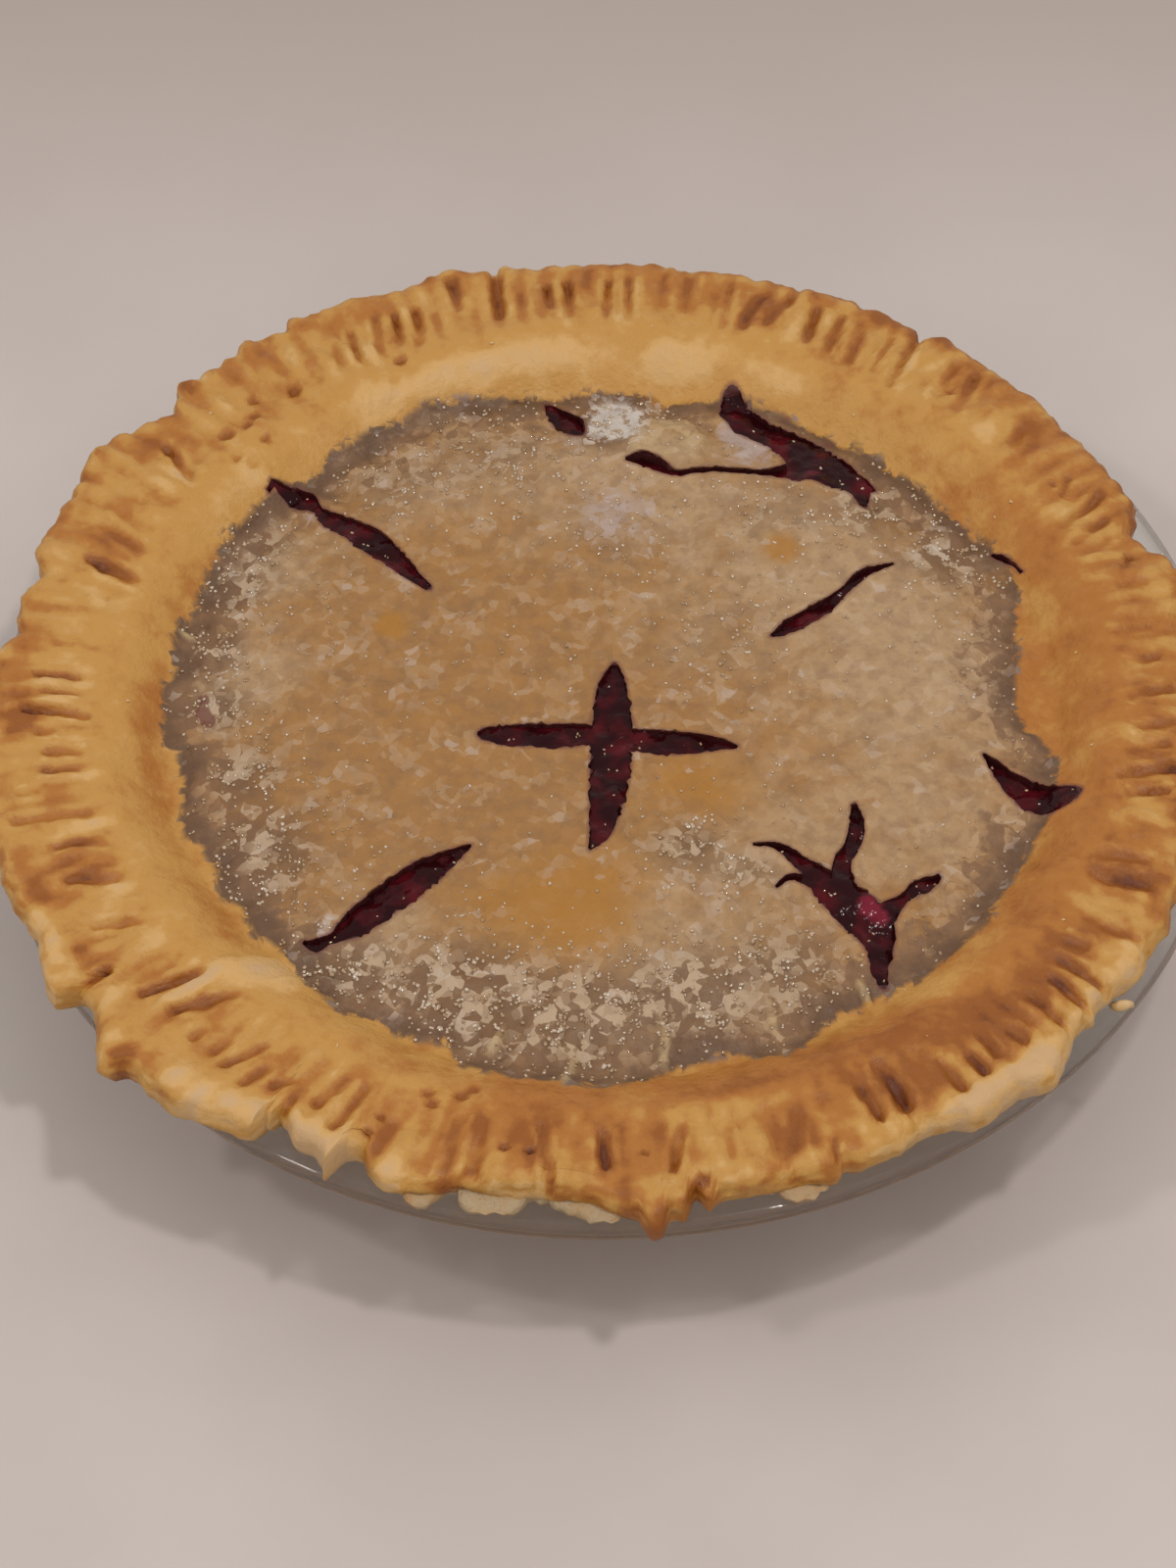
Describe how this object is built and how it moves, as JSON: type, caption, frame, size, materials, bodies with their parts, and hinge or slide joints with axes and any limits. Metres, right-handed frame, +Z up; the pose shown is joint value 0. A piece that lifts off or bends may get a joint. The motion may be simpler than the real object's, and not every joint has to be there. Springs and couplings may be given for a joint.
{
  "type": "cherry pie",
  "caption": "Baked cherry pie with a sugared lid, slashed vents showing dark filling, and a fork-crimped rim, in a round clear glass pie dish.",
  "frame": {"origin": "middle of the dish's flat foot, on the surface it stands on", "axes": "+Z up out of the dish, -Y towards the side of the pie that is nearest in the picture, +X to its right"},
  "size_m": [0.2452, 0.245, 0.047],
  "materials": {
    "clear_glass": "clear, polished, with a faint grey-green tint at the edge",
    "pale_pastry": "pale baked pastry, dry and flaky",
    "cherry_filling": "dark cooked cherries in glossy thickened juice",
    "golden_pastry": "golden baked pastry, browned on its ridges, sugared on the middle"
  },
  "bodies": {
    "root": {"dish": "clear_glass", "crust_bottom": "pale_pastry", "filling": "cherry_filling", "crust_top": "golden_pastry"}
  },
  "joints": []
}
